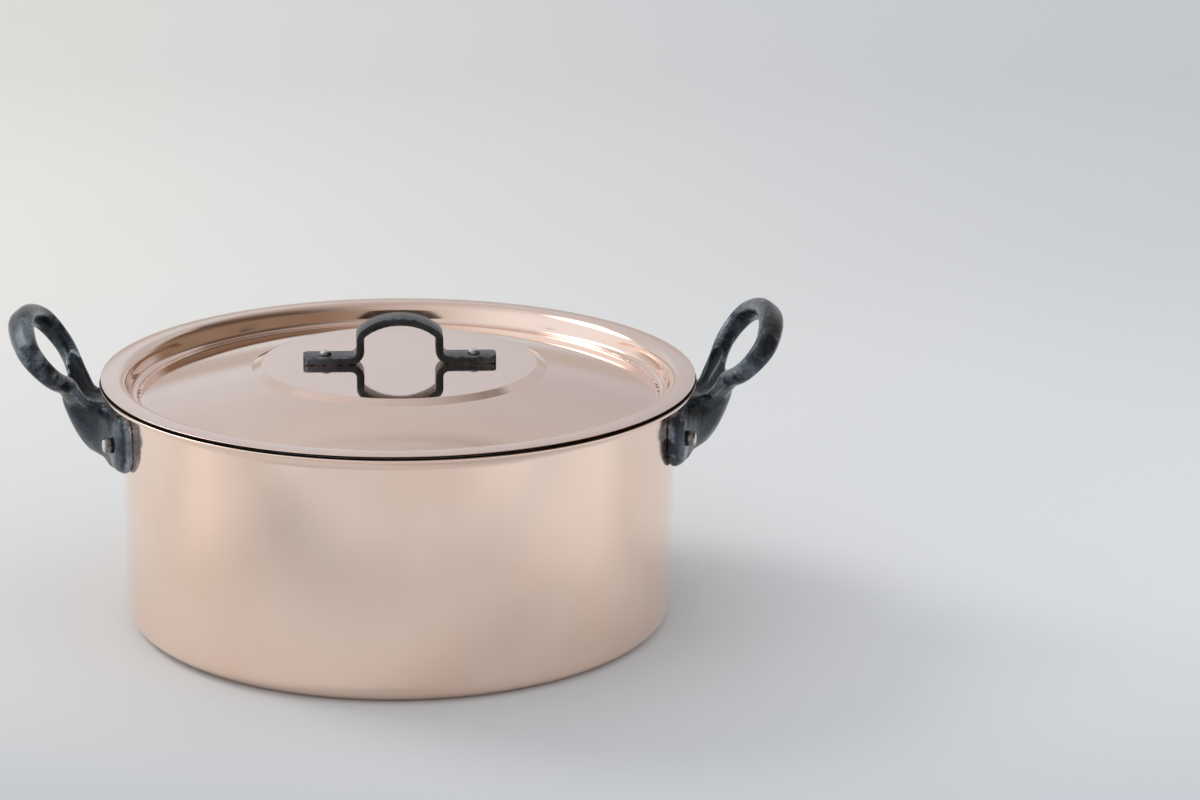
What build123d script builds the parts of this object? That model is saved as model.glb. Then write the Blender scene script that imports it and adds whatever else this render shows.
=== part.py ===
from build123d import *

import math
import os

# A copper stewpot with two cast-iron side handles, and its copper lid with an iron strap handle.
# Millimetres. The origin is the middle of the base on the floor, +Z is up and +X runs through
# the side handles. Sheet-metal walls are half sections in the XZ plane, turned about Z.

# Pot: copper outside, a thin stainless lining inside.
pot_inner_diameter = 280.0
pot_height = 127.2
pot_copper_thickness = 1.7
pot_lining_thickness = 0.3
base_corner_radius = 10.0
rim_flare_radius = 7.0
lip_droop_radius = 19.0
lip_droop_angle = 10.7

# Lid: a flat rim that rests on the lip, a recess that drops into the mouth, a low dome and a
# raised round platform for the handle.
lid_rim_inset = 0.8
lid_copper_thickness = 1.2
lid_lining_thickness = 0.3
lid_seat_clearance = 0.3
lid_shoulder_radius = 5.2
lid_mouth_clearance = 0.4
lid_recess_depth = 11.6
lid_recess_draft = 12.0
lid_channel_radius = 2.5
lid_dome_radius = 500.0
platform_edge_radius = 70.6
platform_step_run = 5.1
platform_rise = 4.2
platform_foot_bend = 1.5
platform_edge_bend = 2.0

# Lid handle: one strap with two feet, two legs and a broad arch.
strap_thickness = 4.0
strap_width = 14.5
strap_foot_end = 49.4
strap_foot_corner_radius = 3.0
strap_leg_offset = 20.2
strap_foot_bend = 5.0
strap_arch_top = 24.4
strap_arch_radius = 32.0
strap_arch_corner = 4.0
strap_edge_softening = 0.6

# Lid rivets.
lid_rivet_from_foot_end = 11.4
lid_rivet_shank = 4.0
lid_rivet_head = 6.4
lid_rivet_head_rise = 2.2
lid_rivet_inner_head = 7.5
lid_rivet_inner_rise = 1.4
lid_rivet_inner_rounding = 0.5
rivet_hole_clearance = 0.05

# Side handles: an oval loop on a neck, with a flange that wraps the wall in two lobes. A drop is
# measured down from the flange's top edge, which lies just under the pot's flare.
flange_clearance = 0.05
flange_thickness = 8.0
flange_edge_rounding = 6.0
flange_below_flare = 0.8
flange_top_corner = 9.0
lobe_radius = 13.0
lobe_offset = 35.6
lobe_drop = 17.9
keel_radius = 15.0
keel_drop = 34.4
valley_radius = 4.0
valley_drop = 25.9

# The neck's sections from the wall to the loop: each one's lowest and highest point, out from the
# wall and up from the flange's top edge, and its width and corner radius.
neck_sections = [
    ((-4.0, -34.4), (-4.0, 0.0), 64.0, 17.0),
    ((6.5, -34.0), (6.5, -0.4), 58.0, 16.6),
    ((12.8, -30.6), (11.6, 0.9), 41.0, 15.6),
    ((19.2, -25.2), (15.3, 4.2), 33.0, 14.4),
    ((25.2, -14.8), (18.2, 9.0), 30.0, 12.2),
    ((28.8, -4.4), (19.6, 11.4), 29.0, 9.0),
    ((29.4, 4.4), (21.4, 12.4), 28.0, 5.5),
]

# The loop lies in a tilted plane, where distances run from its root on the neck to its tip. Its
# hole and its outline are both ovals of four arcs, widest at the same place.
loop_tilt = 51.0
loop_root_out = 21.0
loop_root_rise = 4.7
loop_wide_at = 26.5
loop_hole_half_width = 34.0
loop_hole_tip_reach = 13.2
loop_hole_root_reach = 20.0
loop_hole_tip_corner = 7.2
loop_hole_root_corner = 13.0
loop_bar_width = 8.0
loop_bar_width_at_tip = 9.8
loop_bar_depth_at_root = 9.6
loop_bar_depth_at_tip = 16.5
loop_swell_by_middle = 0.25
loop_inner_rounding = 3.2
loop_outer_rounding = 4.6

# Side-handle rivets: each stands a little outside and above the middle of its lobe, in a shallow
# spot face.
rivet_outset = 3.12
rivet_above_lobe = 2.1
rivet_shank = 6.0
rivet_head = 7.8
rivet_head_rise = 5.0
rivet_head_rounding = 0.8
rivet_inner_head = 12.0
rivet_inner_rise = 2.5
spot_face_clearance = 0.6
spot_face_depth = 0.4

pot_inner_radius = pot_inner_diameter / 2
pot_wall = pot_copper_thickness + pot_lining_thickness
pot_outer_radius = pot_inner_radius + pot_wall
flare_start = pot_height - pot_wall - rim_flare_radius
lip_edge_reach = (lip_droop_radius + pot_wall) * math.sin(math.radians(lip_droop_angle))
lip_edge_radius = pot_outer_radius + rim_flare_radius + lip_edge_reach
lid_wall = lid_copper_thickness + lid_lining_thickness
lid_rim_top = pot_height + lid_seat_clearance + lid_wall
lid_rim_radius = lip_edge_radius - lid_rim_inset
lid_recess_mouth_radius = pot_inner_radius - lid_mouth_clearance
platform_foot_radius = platform_edge_radius + platform_step_run
platform_top = lid_rim_top + platform_rise
lid_rivet_offset = strap_foot_end - lid_rivet_from_foot_end
flange_outer_radius = pot_outer_radius + flange_thickness
flange_top = flare_start - flange_below_flare
spot_face_radius = flange_outer_radius - spot_face_depth
spot_face_diameter = rivet_head + 2 * spot_face_clearance
rivet_height = flange_top - lobe_drop + rivet_above_lobe
rivet_angle = math.degrees(math.asin((lobe_offset + rivet_outset) / spot_face_radius))

# Lengths for cutters and blanks that only have to reach past the pot, and the slack allowed when
# a corner or an edge is picked by where it is.
beyond = 2 * pot_height
close_enough = 0.01


def upright(face):
    """A sketch drawn as (radius, height) stood up in the XZ plane."""
    return Plane.XZ * face


def sheet(line, start, thickness, side):
    """The section of a sheet that follows a line, its near face moved off the line by start."""
    section = make_face(line.offset_2d(start + thickness, side=side).edges())
    if start:
        section -= make_face(line.offset_2d(start, side=side).edges())
    return section


def turned_sheet(line, start, thickness, side):
    """A round vessel's sheet."""
    return revolve(upright(sheet(line, start, thickness, side)), Axis.Z)


def pot_outer_line():
    """The outside of the pot from the middle of the base to the edge of the lip."""
    corner_centre = (pot_outer_radius - base_corner_radius, base_corner_radius)
    flare_centre = (pot_outer_radius + rim_flare_radius, flare_start)
    lip_crest = flare_start + rim_flare_radius
    droop_centre = (flare_centre[0], lip_crest - lip_droop_radius)
    base = Line((0, 0), (corner_centre[0], 0))
    corner = CenterArc(corner_centre, base_corner_radius, -90, 90)
    wall = Line((pot_outer_radius, base_corner_radius), (pot_outer_radius, flare_start))
    flare = CenterArc(flare_centre, rim_flare_radius, 180, -90)
    lip = CenterArc(droop_centre, lip_droop_radius, 90, -lip_droop_angle)
    return Wire([base, corner, wall, flare, lip])


def lid_top_line():
    """The top of the lid from its middle to the edge of its rim."""
    recess_foot = (
        lid_recess_mouth_radius - lid_recess_depth * math.tan(math.radians(lid_recess_draft)),
        lid_rim_top - lid_recess_depth,
    )
    dome_centre = recess_foot[1] - math.sqrt(lid_dome_radius**2 - recess_foot[0] ** 2)

    def on_dome(radius):
        return (radius, dome_centre + math.sqrt(lid_dome_radius**2 - radius**2))

    dome_middle = (platform_foot_radius + recess_foot[0]) / 2
    platform = Line((0, platform_top), (platform_edge_radius, platform_top))
    step = Line((platform_edge_radius, platform_top), on_dome(platform_foot_radius))
    dome = ThreePointArc(on_dome(platform_foot_radius), on_dome(dome_middle), recess_foot)
    wall = Line(recess_foot, (lid_recess_mouth_radius, lid_rim_top))
    rim = Line((lid_recess_mouth_radius, lid_rim_top), (lid_rim_radius, lid_rim_top))
    bends = [
        (platform_edge_radius, platform_edge_bend),
        (platform_foot_radius, platform_foot_bend),
        (recess_foot[0], lid_channel_radius),
        (lid_recess_mouth_radius, lid_shoulder_radius),
    ]
    line = Wire([platform, step, dome, wall, rim])
    for corner_radius, bend in bends:
        corner = line.vertices().sort_by(lambda v: abs(v.X - corner_radius))[0]
        line = line.fillet_2d(bend, [corner])
    return line


def bar_section(diameter, low, high):
    """Half the section of a round bar, drawn as (radius, height) between two heights."""
    half = Rectangle(diameter / 2, high - low, align=(Align.MIN, Align.MIN))
    return Pos(0, low) * half


def at_side_rivet(angle):
    """Where a side rivet stands, at an angle about Z, pointing out of the pot."""
    return Rot(0, 0, angle) * Pos(pot_inner_radius, 0, rivet_height) * Rot(0, 90, 0)


def side_rivet(angle):
    """A side handle's rivet, its inner head dished to lie on the round lining."""
    grip = spot_face_radius - pot_inner_radius
    outer = bar_section(rivet_shank, -rivet_inner_rise, grip)
    outer += bar_section(rivet_head, grip, grip + rivet_head_rise)
    outer = revolve(upright(outer), Axis.Z)
    outer = fillet(outer.edges().sort_by(Axis.Z)[-1], rivet_head_rounding)
    inner = revolve(upright(bar_section(rivet_inner_head, -rivet_inner_rise, 0)), Axis.Z)
    inner = fillet(inner.edges().sort_by(Axis.Z)[0], rivet_head_rounding)
    place = at_side_rivet(angle)
    return place * outer + (place * inner & Cylinder(pot_inner_radius, beyond))


def lid_rivet():
    """A lid rivet along +Z: z = 0 is the underside of the lid's lining."""
    grip = lid_wall + strap_thickness
    dome_radius = ((lid_rivet_head / 2) ** 2 + lid_rivet_head_rise**2) / (2 * lid_rivet_head_rise)
    dome = Pos(0, grip + lid_rivet_head_rise - dome_radius) * Circle(dome_radius)
    section = bar_section(lid_rivet_shank, 0, grip)
    section += bar_section(lid_rivet_inner_head, -lid_rivet_inner_rise, 0)
    section += dome & bar_section(lid_rivet_head, grip, grip + lid_rivet_head_rise)
    body = revolve(upright(section), Axis.Z)
    return fillet(body.edges().sort_by(Axis.Z)[0], lid_rivet_inner_rounding)


def side_hole(angle):
    """The hole for a side rivet's shank, through pot and handle."""
    hole_radius = rivet_shank / 2 + rivet_hole_clearance
    return at_side_rivet(angle) * Cylinder(hole_radius, 4 * flange_thickness)


def lid_hole(offset):
    """The hole for a lid rivet's shank, through lid and strap."""
    hole_radius = lid_rivet_shank / 2 + rivet_hole_clearance
    return Pos(offset, 0, platform_top) * Cylinder(hole_radius, 4 * strap_thickness)


def oval(half_width, tip_reach, tip_corner, root_reach, root_corner):
    """An oval of tangent arcs: a flat arc over each end and a tighter one round each corner."""
    arcs = []
    for heading, reach, corner in ((1, tip_reach, tip_corner), (-1, root_reach, root_corner)):
        rise = half_width - corner
        end_radius = (reach**2 + half_width**2 - 2 * half_width * corner) / (2 * (reach - corner))
        end_centre = loop_wide_at + heading * (reach - end_radius)
        turn = math.degrees(math.atan2(rise, end_radius - reach))
        middle = 0 if heading > 0 else 180
        arcs.append(CenterArc((end_centre, 0), end_radius, middle - turn, 2 * turn))
        for side in (1, -1):
            sweep = -side * heading * (90 - turn)
            arcs.append(CenterArc((loop_wide_at, side * rise), corner, 90 * side, sweep))
    return make_face(arcs)


def handle_loop():
    """The loop, broader and deeper at its tip than at its root, with rounded edges."""
    hole = oval(
        loop_hole_half_width,
        loop_hole_tip_reach,
        loop_hole_tip_corner,
        loop_hole_root_reach,
        loop_hole_root_corner,
    )
    outline = oval(
        loop_hole_half_width + loop_bar_width,
        loop_hole_tip_reach + loop_bar_width_at_tip,
        loop_hole_tip_corner + loop_bar_width,
        loop_hole_root_reach + loop_bar_width,
        loop_hole_root_corner + loop_bar_width,
    )
    ring = extrude(outline - hole, loop_bar_depth_at_tip, both=True)

    near = loop_wide_at - loop_hole_root_reach - 2 * loop_bar_width
    far = loop_wide_at + loop_hole_tip_reach + 2 * loop_bar_width_at_tip
    root_half = loop_bar_depth_at_root / 2
    tip_half = loop_bar_depth_at_tip / 2
    half_where_wide = root_half + loop_swell_by_middle * (tip_half - root_half)
    upper = ThreePointArc((near, root_half), (loop_wide_at, half_where_wide), (far, tip_half))
    lower = ThreePointArc((near, -root_half), (loop_wide_at, -half_where_wide), (far, -tip_half))
    ends = [Line((x, -half), (x, half)) for x, half in ((near, root_half), (far, tip_half))]
    side_view = Plane.XZ * make_face([upper, lower] + ends)
    bar = ring & extrude(side_view, 2 * loop_hole_half_width, both=True)

    def beside_hole(edge):
        middle = edge @ 0.5
        return hole.distance_to(Vertex(middle.X, middle.Y, 0)) < close_enough

    outline_edges = bar.edges().filter_by(beside_hole, reverse=True)
    bar = fillet(outline_edges, loop_outer_rounding)
    bar = fillet(bar.edges().filter_by(beside_hole), loop_inner_rounding)
    tilt = math.radians(loop_tilt)
    plane = Plane(
        origin=(pot_outer_radius + loop_root_out, 0, flange_top + loop_root_rise),
        x_dir=(math.cos(tilt), 0, math.sin(tilt)),
        z_dir=(-math.sin(tilt), 0, math.cos(tilt)),
    )
    return plane * bar


def casting_outline():
    """The casting seen from outside, without its loop: two lobes with a keel between them.

    Its origin is the middle of the flange's top edge.
    """
    below = (Align.CENTER, Align.MAX)
    shape = Pos(0, keel_radius - keel_drop) * Circle(keel_radius)
    for side in (1, -1):
        shape += Pos(side * lobe_offset, -lobe_drop) * Circle(lobe_radius)
    shape += Rectangle(2 * (lobe_offset + lobe_radius), lobe_drop, align=below)
    shape += Rectangle(2 * lobe_offset, valley_drop, align=below)
    valleys = [v for v in shape.vertices() if abs(v.Y + valley_drop) < close_enough]
    shape = fillet(valleys, valley_radius)
    top_corners = shape.vertices().sort_by(Axis.Y)[-2:]
    return fillet(top_corners, flange_top_corner)


def flange():
    """The pad against the pot, its outer edge rounded all round."""
    band = Cylinder(flange_outer_radius, beyond)
    pad = band & Pos(0, 0, flange_top) * extrude(Plane.YZ * casting_outline(), beyond)

    def on_outer_face(edge):
        points = (edge @ 0, edge @ 0.5, edge @ 1)
        return all(abs(math.hypot(p.X, p.Y) - flange_outer_radius) < close_enough for p in points)

    return fillet(pad.edges().filter_by(on_outer_face), flange_edge_rounding)


def neck():
    """The neck between flange and loop, lofted through rounded sections from the wall upwards."""
    sections = []
    for (low_out, low_up), (high_out, high_up), width, corner in neck_sections:
        height = math.hypot(high_out - low_out, high_up - low_up)
        plane = Plane(
            origin=((low_out + high_out) / 2, 0, (low_up + high_up) / 2),
            x_dir=(high_out - low_out, 0, high_up - low_up),
            z_dir=(high_up - low_up, 0, low_out - high_out),
        )
        sections.append(plane * RectangleRounded(height, width, corner))
    return Pos(pot_outer_radius, 0, flange_top) * loft(sections)


def spot_face(angle):
    """The flat counterbore that a side rivet's head sits in."""
    depth = 2 * flange_thickness
    cutter = Pos(0, 0, spot_face_radius - pot_inner_radius) * Cylinder(
        spot_face_diameter / 2, depth, align=(Align.CENTER, Align.CENTER, Align.MIN)
    )
    return at_side_rivet(angle) * cutter


def side_handle():
    """The right-hand casting, whole."""
    casting = flange() + neck() + handle_loop()
    casting -= Cylinder(pot_outer_radius + flange_clearance, beyond)
    for angle in (rivet_angle, -rivet_angle):
        casting -= side_hole(angle)
        casting -= spot_face(angle)
    return casting


def lid_handle():
    """The bent strap: two feet, two legs and a broad arch."""
    mid_foot = platform_top + strap_thickness / 2
    mid_arch = platform_top + strap_arch_top - strap_thickness / 2
    arch_centre = mid_arch - strap_arch_radius
    shoulder = arch_centre + math.sqrt(strap_arch_radius**2 - strap_leg_offset**2)
    top = (0, mid_arch)
    runs = [ThreePointArc((-strap_leg_offset, shoulder), top, (strap_leg_offset, shoulder))]
    for side in (1, -1):
        leg = side * strap_leg_offset
        runs.append(Line((leg, shoulder), (leg, mid_foot)))
        runs.append(Line((leg, mid_foot), (side * strap_foot_end, mid_foot)))
    middle_line = Wire(runs)
    for height, bend in ((mid_foot, strap_foot_bend), (shoulder, strap_arch_corner)):
        for side in (1, -1):
            corner = middle_line.vertices().sort_by(
                lambda v: math.hypot(v.X - side * strap_leg_offset, v.Y - height)
            )[0]
            middle_line = middle_line.fillet_2d(bend, [corner])
    half = strap_thickness / 2
    section = make_face(middle_line.offset_2d(half, side=Side.LEFT).edges())
    section += make_face(middle_line.offset_2d(half, side=Side.RIGHT).edges())
    strap = extrude(Plane.XZ * section, strap_width / 2, both=True)
    foot_corners = strap.edges().filter_by(Axis.Z).filter_by(
        lambda edge: abs(abs((edge @ 0.5).X) - strap_foot_end) < close_enough
    )
    strap = fillet(foot_corners, strap_foot_corner_radius)
    strap = chamfer(strap.edges().filter_by(
        lambda edge: abs(abs((edge @ 0.5).Y) - strap_width / 2) < close_enough
    ), strap_edge_softening)
    for offset in (lid_rivet_offset, -lid_rivet_offset):
        strap -= lid_hole(offset)
    return strap


def pierced_pot_sheet(start, thickness):
    """One layer of the pot's wall, with the four holes for the side rivets."""
    layer = turned_sheet(pot_outer_line(), start, thickness, Side.LEFT)
    for middle in (0, 180):
        for angle in (rivet_angle, -rivet_angle):
            layer -= side_hole(middle + angle)
    return layer


def pierced_lid_sheet(start, thickness):
    """One layer of the lid, with the two holes for its rivets."""
    layer = turned_sheet(lid_top_line(), start, thickness, Side.RIGHT)
    for offset in (lid_rivet_offset, -lid_rivet_offset):
        layer -= lid_hole(offset)
    return layer


right_handle = side_handle()
strap_rivet = lid_rivet()
under_lid = platform_top - lid_wall

parts = {
    "pot_shell": pierced_pot_sheet(0, pot_copper_thickness),
    "pot_lining": pierced_pot_sheet(pot_copper_thickness, pot_lining_thickness),
    "right_handle": right_handle,
    "left_handle": Rot(0, 0, 180) * right_handle,
    "right_front_rivet": side_rivet(-rivet_angle),
    "right_rear_rivet": side_rivet(rivet_angle),
    "left_front_rivet": side_rivet(180 + rivet_angle),
    "left_rear_rivet": side_rivet(180 - rivet_angle),
    "lid_shell": pierced_lid_sheet(0, lid_copper_thickness),
    "lid_lining": pierced_lid_sheet(lid_copper_thickness, lid_lining_thickness),
    "lid_handle": lid_handle(),
    "lid_left_rivet": Pos(-lid_rivet_offset, 0, under_lid) * strap_rivet,
    "lid_right_rivet": Pos(lid_rivet_offset, 0, under_lid) * strap_rivet,
}

os.makedirs("parts", exist_ok=True)
for name, solid in parts.items():
    export_step(solid, f"parts/{name}.step")
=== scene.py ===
import math

import bmesh
import bpy
from mathutils import Matrix, Vector


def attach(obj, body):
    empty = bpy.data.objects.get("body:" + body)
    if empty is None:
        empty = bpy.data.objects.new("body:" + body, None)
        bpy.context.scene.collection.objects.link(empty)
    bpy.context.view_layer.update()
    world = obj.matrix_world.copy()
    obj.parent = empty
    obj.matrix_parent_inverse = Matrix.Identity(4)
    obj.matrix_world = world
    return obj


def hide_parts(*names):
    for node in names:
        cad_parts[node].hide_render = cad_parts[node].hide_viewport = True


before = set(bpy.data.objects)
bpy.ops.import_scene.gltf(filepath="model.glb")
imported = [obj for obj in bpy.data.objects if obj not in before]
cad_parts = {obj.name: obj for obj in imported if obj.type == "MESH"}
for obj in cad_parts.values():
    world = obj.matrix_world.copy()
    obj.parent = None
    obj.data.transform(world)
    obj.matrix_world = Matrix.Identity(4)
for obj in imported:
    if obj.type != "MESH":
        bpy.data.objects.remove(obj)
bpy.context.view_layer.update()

scene = bpy.context.scene
scene.view_settings.view_transform = "Standard"

# The scene is in metres. The pot's sizes are in mm, and become metres where its meshes are made.
mm = 0.001


# The view
# The pot is seen from a little above and from one and a half metres off, through a long lens, so
# its round rim shows as a narrow ellipse and its walls stay upright.

camera_distance = 1477.4 * mm
camera_height = 536.4 * mm
quarter_view = math.radians(1.1)
look_right = math.radians(4.005) + quarter_view
look_down = math.radians(16.0)
camera_roll = math.radians(0.7675)
focal_length = 89.135
sensor_width = 36.0

forward = Vector((
    math.sin(look_right) * math.cos(look_down),
    math.cos(look_right) * math.cos(look_down),
    -math.sin(look_down),
))
level_right = forward.cross(Vector((0, 0, 1))).normalized()
level_up = level_right.cross(forward)
camera_right = level_right * math.cos(camera_roll) + level_up * math.sin(camera_roll)
camera_up = level_up * math.cos(camera_roll) - level_right * math.sin(camera_roll)

camera_data = bpy.data.cameras.new("camera")
camera_data.sensor_fit = "HORIZONTAL"
camera_data.sensor_width = sensor_width
camera_data.lens = focal_length
camera = bpy.data.objects.new("camera", camera_data)
scene.collection.objects.link(camera)
camera.matrix_world = Matrix.Translation((
    -camera_distance * math.sin(quarter_view),
    -camera_distance * math.cos(quarter_view),
    camera_height,
)) @ Matrix((camera_right, camera_up, -forward)).transposed().to_4x4()
scene.camera = camera


# The sweep
# A wide sheet of pale matt paper lies under the pot and curves up behind it, so no horizon shows.
# Its colour carries painted light and shade, which change a little from left to right and from front
# to back. In reflections alone, it glows a little to each side of the pot, a painted reflection.

paper_half_width = 4.5
paper_front = -3.5
paper_bend_start = 1.6
paper_bend_radius = 1.5
paper_top = 4.2
paper_bend_steps = 48


def screen_colour(red, green, blue):
    """A colour given as it shows on a screen, from 0 to 255, as the light that it stands for."""
    light = []
    for value in (red, green, blue):
        share = value / 255
        light.append(share / 12.92 if share <= 0.04045 else ((share + 0.055) / 1.055) ** 2.4)
    return (*light, 1.0)


def new_object(name, mesh):
    """An object for a mesh, at the origin and in the scene."""
    piece = bpy.data.objects.new(name, mesh)
    scene.collection.objects.link(piece)
    return piece


def shade_smooth(mesh):
    """Every face of a mesh shaded smooth."""
    mesh.polygons.foreach_set("use_smooth", [True] * len(mesh.polygons))


def new_material(name, **values):
    """A material with one Principled shader, whose plain values are set on its own sockets."""
    material = bpy.data.materials.new(name)
    material.use_nodes = True
    shader = material.node_tree.nodes["Principled BSDF"]
    for socket, value in values.items():
        shader.inputs[socket.replace("_", " ")].default_value = value
    return material, material.node_tree, shader


def connect(tree, shader, **outputs):
    """Other nodes' outputs linked to a shader's sockets."""
    for socket, output in outputs.items():
        tree.links.new(output, shader.inputs[socket.replace("_", " ")])


def add_node(tree, kind, settings=None, **inputs):
    """A node with its settings and inputs set; an input that is another node's socket is linked."""
    node = tree.nodes.new(kind)
    for name, value in (settings or {}).items():
        setattr(node, name, value)
    for name, value in inputs.items():
        key = int(name[3:]) if name.startswith("in_") else name.replace("_", " ")
        if isinstance(value, bpy.types.NodeSocket):
            tree.links.new(value, node.inputs[key])
        else:
            node.inputs[key].default_value = value
    return node


def maths(tree, operation, first, second=0.0):
    """What one operation makes of one or two values."""
    return add_node(
        tree, "ShaderNodeMath", {"operation": operation}, in_0=first, in_1=second
    ).outputs[0]


def spread(tree, value, low, high, to_low=0.0, to_high=1.0):
    """A value stretched from one range to another, and held at its ends."""
    return add_node(
        tree, "ShaderNodeMapRange", {"interpolation_type": "SMOOTHSTEP"},
        Value=value, From_Min=low, From_Max=high, To_Min=to_low, To_Max=to_high,
    ).outputs["Result"]


def mix_colours(tree, factor, first, second):
    """The colour between two colours that a factor picks."""
    return add_node(
        tree, "ShaderNodeMix", {"data_type": "RGBA"}, in_0=factor, in_6=first, in_7=second
    ).outputs[2]


def object_place(tree):
    """Places on the piece itself, in metres from its origin."""
    return add_node(tree, "ShaderNodeTexCoord").outputs["Object"]


def noise(tree, place, scale, detail, roughness=0.5, distortion=0.0):
    """Cloudy noise from 0 to 1."""
    return add_node(
        tree, "ShaderNodeTexNoise",
        Vector=place, Scale=scale, Detail=detail, Roughness=roughness, Distortion=distortion,
    ).outputs["Fac"]


def bump(tree, height, depth, under=None, strength=1.0):
    """A normal tilted by a height whose whole range is a depth in mm, over another normal if given."""
    node = add_node(tree, "ShaderNodeBump", Height=height, Strength=strength, Distance=depth * mm)
    if under:
        tree.links.new(under, node.inputs["Normal"])
    return node.outputs["Normal"]


def paper_mesh():
    """The sheet of paper from its front edge to its top edge, bent up behind."""
    section = [(paper_front, 0.0)]
    for step in range(paper_bend_steps + 1):
        turn = math.pi / 2 * step / paper_bend_steps
        section.append((
            paper_bend_start + paper_bend_radius * math.sin(turn),
            paper_bend_radius * (1 - math.cos(turn)),
        ))
    section.append((paper_bend_start + paper_bend_radius, paper_top))
    corners = [(side * paper_half_width, y, z) for y, z in section for side in (-1, 1)]
    faces = [(2 * i, 2 * i + 1, 2 * i + 3, 2 * i + 2) for i in range(len(section) - 1)]
    mesh = bpy.data.meshes.new("sweep")
    mesh.from_pydata(corners, [], faces)
    shade_smooth(mesh)
    return mesh


def paper_material():
    """Matt paper with a faint cloudiness and painted light and shade, across and from front to back."""
    material, tree, shader = new_material(
        "pale_paper", Roughness=0.85, Specular_IOR_Level=0.2,
        Emission_Color=(1.0, 0.98, 0.96, 1.0),
    )
    place = object_place(tree)
    axes = add_node(tree, "ShaderNodeSeparateXYZ", Vector=place).outputs
    across = spread(tree, axes["X"], -0.6, 0.9)
    across_front = spread(tree, axes["X"], -0.45, 0.2)

    def shade(share, left, right):
        return mix_colours(tree, share, screen_colour(*left), screen_colour(*right))

    # Painted light and shade: the paper's colours change across it and from front to back, darker at the
    # front on the left.
    nearest = shade(across, (204, 209, 215), (221, 222, 225))
    front = shade(across_front, (142, 150, 159), (188, 192, 199))
    middle = shade(across, (212, 213, 213), (223, 225, 229))
    far = shade(across, (221, 219, 215), (208, 210, 214))
    low_back = shade(across, (229, 232, 237), (208, 206, 209))
    high_back = shade(across, (224, 226, 226), (212, 212, 212))
    colour = mix_colours(tree, spread(tree, axes["Y"], -0.50, -0.02), front, middle)
    colour = mix_colours(tree, spread(tree, axes["Y"], 0.0, 0.9), colour, far)
    colour = mix_colours(tree, spread(tree, axes["Y"], -0.42, -0.29), nearest, colour)
    # Painted shade: a darker, warmer band on the bend.
    bend = spread(tree, axes["Z"], 0.2, 0.45)
    colour = mix_colours(tree, bend, colour, screen_colour(200, 190, 182))
    colour = mix_colours(tree, spread(tree, axes["Z"], 0.62, 0.95), colour, low_back)
    colour = mix_colours(tree, spread(tree, axes["Z"], 1.2, 2.3), colour, high_back)
    clouds = spread(tree, noise(tree, place, 3.0, 3.0), 0.3, 0.7, 0.0, 0.06)
    # Painted reflection: the paper glows a little to each side of the pot, but only where reflections
    # see it.
    painted_card_glow = maths(
        tree, "ADD", spread(tree, axes["X"], 0.12, 0.34, 0.0, 0.14),
        spread(tree, axes["X"], -0.40, -0.24, 0.15, 0.0),
    )
    painted_card_glow = maths(tree, "MULTIPLY", painted_card_glow, spread(tree, axes["Y"], -0.12, 0.0, 1.0, 0.0))
    reflected = add_node(tree, "ShaderNodeLightPath").outputs["Is Glossy Ray"]
    connect(
        tree, shader,
        Base_Color=mix_colours(tree, clouds, colour, screen_colour(200, 203, 210)),
        Emission_Strength=maths(tree, "MULTIPLY", painted_card_glow, reflected),
        Normal=bump(tree, noise(tree, place, 900.0, 2.0), 0.1, strength=0.15),
    )
    return material


sweep = new_object("sweep", paper_mesh())
sweep.data.materials.append(paper_material())


# The lamps
# A soft, even white room, and one broad lamp high on the left and a little behind the pot. Its
# shadow falls to the right and slightly forward, with a soft edge.

room_strength = 0.94
lamp_reach = 2.3
lamp_bearing = math.radians(150)
lamp_elevation = math.radians(42)
lamp_size = 0.85
lamp_power = 15.5

room = bpy.data.worlds.new("room")
scene.world = room
room.use_nodes = True
room_light = room.node_tree.nodes["Background"]
room_light.inputs["Color"].default_value = (0.97, 0.985, 1.0, 1.0)
room_light.inputs["Strength"].default_value = room_strength

lamp_data = bpy.data.lights.new("lamp", "AREA")
lamp_data.shape = "DISK"
lamp_data.size = lamp_size
lamp_data.energy = lamp_power
lamp_data.color = (1.0, 0.965, 0.92)
lamp = bpy.data.objects.new("lamp", lamp_data)
scene.collection.objects.link(lamp)
lamp.location = lamp_reach * Vector((
    math.cos(lamp_bearing) * math.cos(lamp_elevation),
    math.sin(lamp_bearing) * math.cos(lamp_elevation),
    math.sin(lamp_elevation),
))
lamp.rotation_euler = (-lamp.location).to_track_quat("-Z", "Y").to_euler()
# The lamp is hidden from reflections; the studio dome paints its highlight instead.
lamp.visible_glossy = False


# The studio dome
# Polished copper shows the room around it, so a dome stands in for the studio: bright by the lamp
# on the left, dim behind the photographer and dark brown on the right. It is open low down at the
# back, where the paper is, and only shows in reflections. All its light is painted reflection,
# with a painted highlight where the lamp is, since the lamp is hidden from reflections, and
# painted dark brown streaks on the right.

dome_reach = 3.0
dome_turns = 96
dome_rises = 24
dome_open_from = -0.7
dome_open_to = 0.4
dome_shut_from = 2.0
dome_shut_to = 2.25
# Painted highlight of the lamp on the dome: how much brighter it glows, and the angles of its edge and
# its core.
painted_lamp_highlight = 4.5
painted_lamp_highlight_edge = math.radians(20)
painted_lamp_highlight_core = math.radians(4)
tiny = 1e-6


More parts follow.
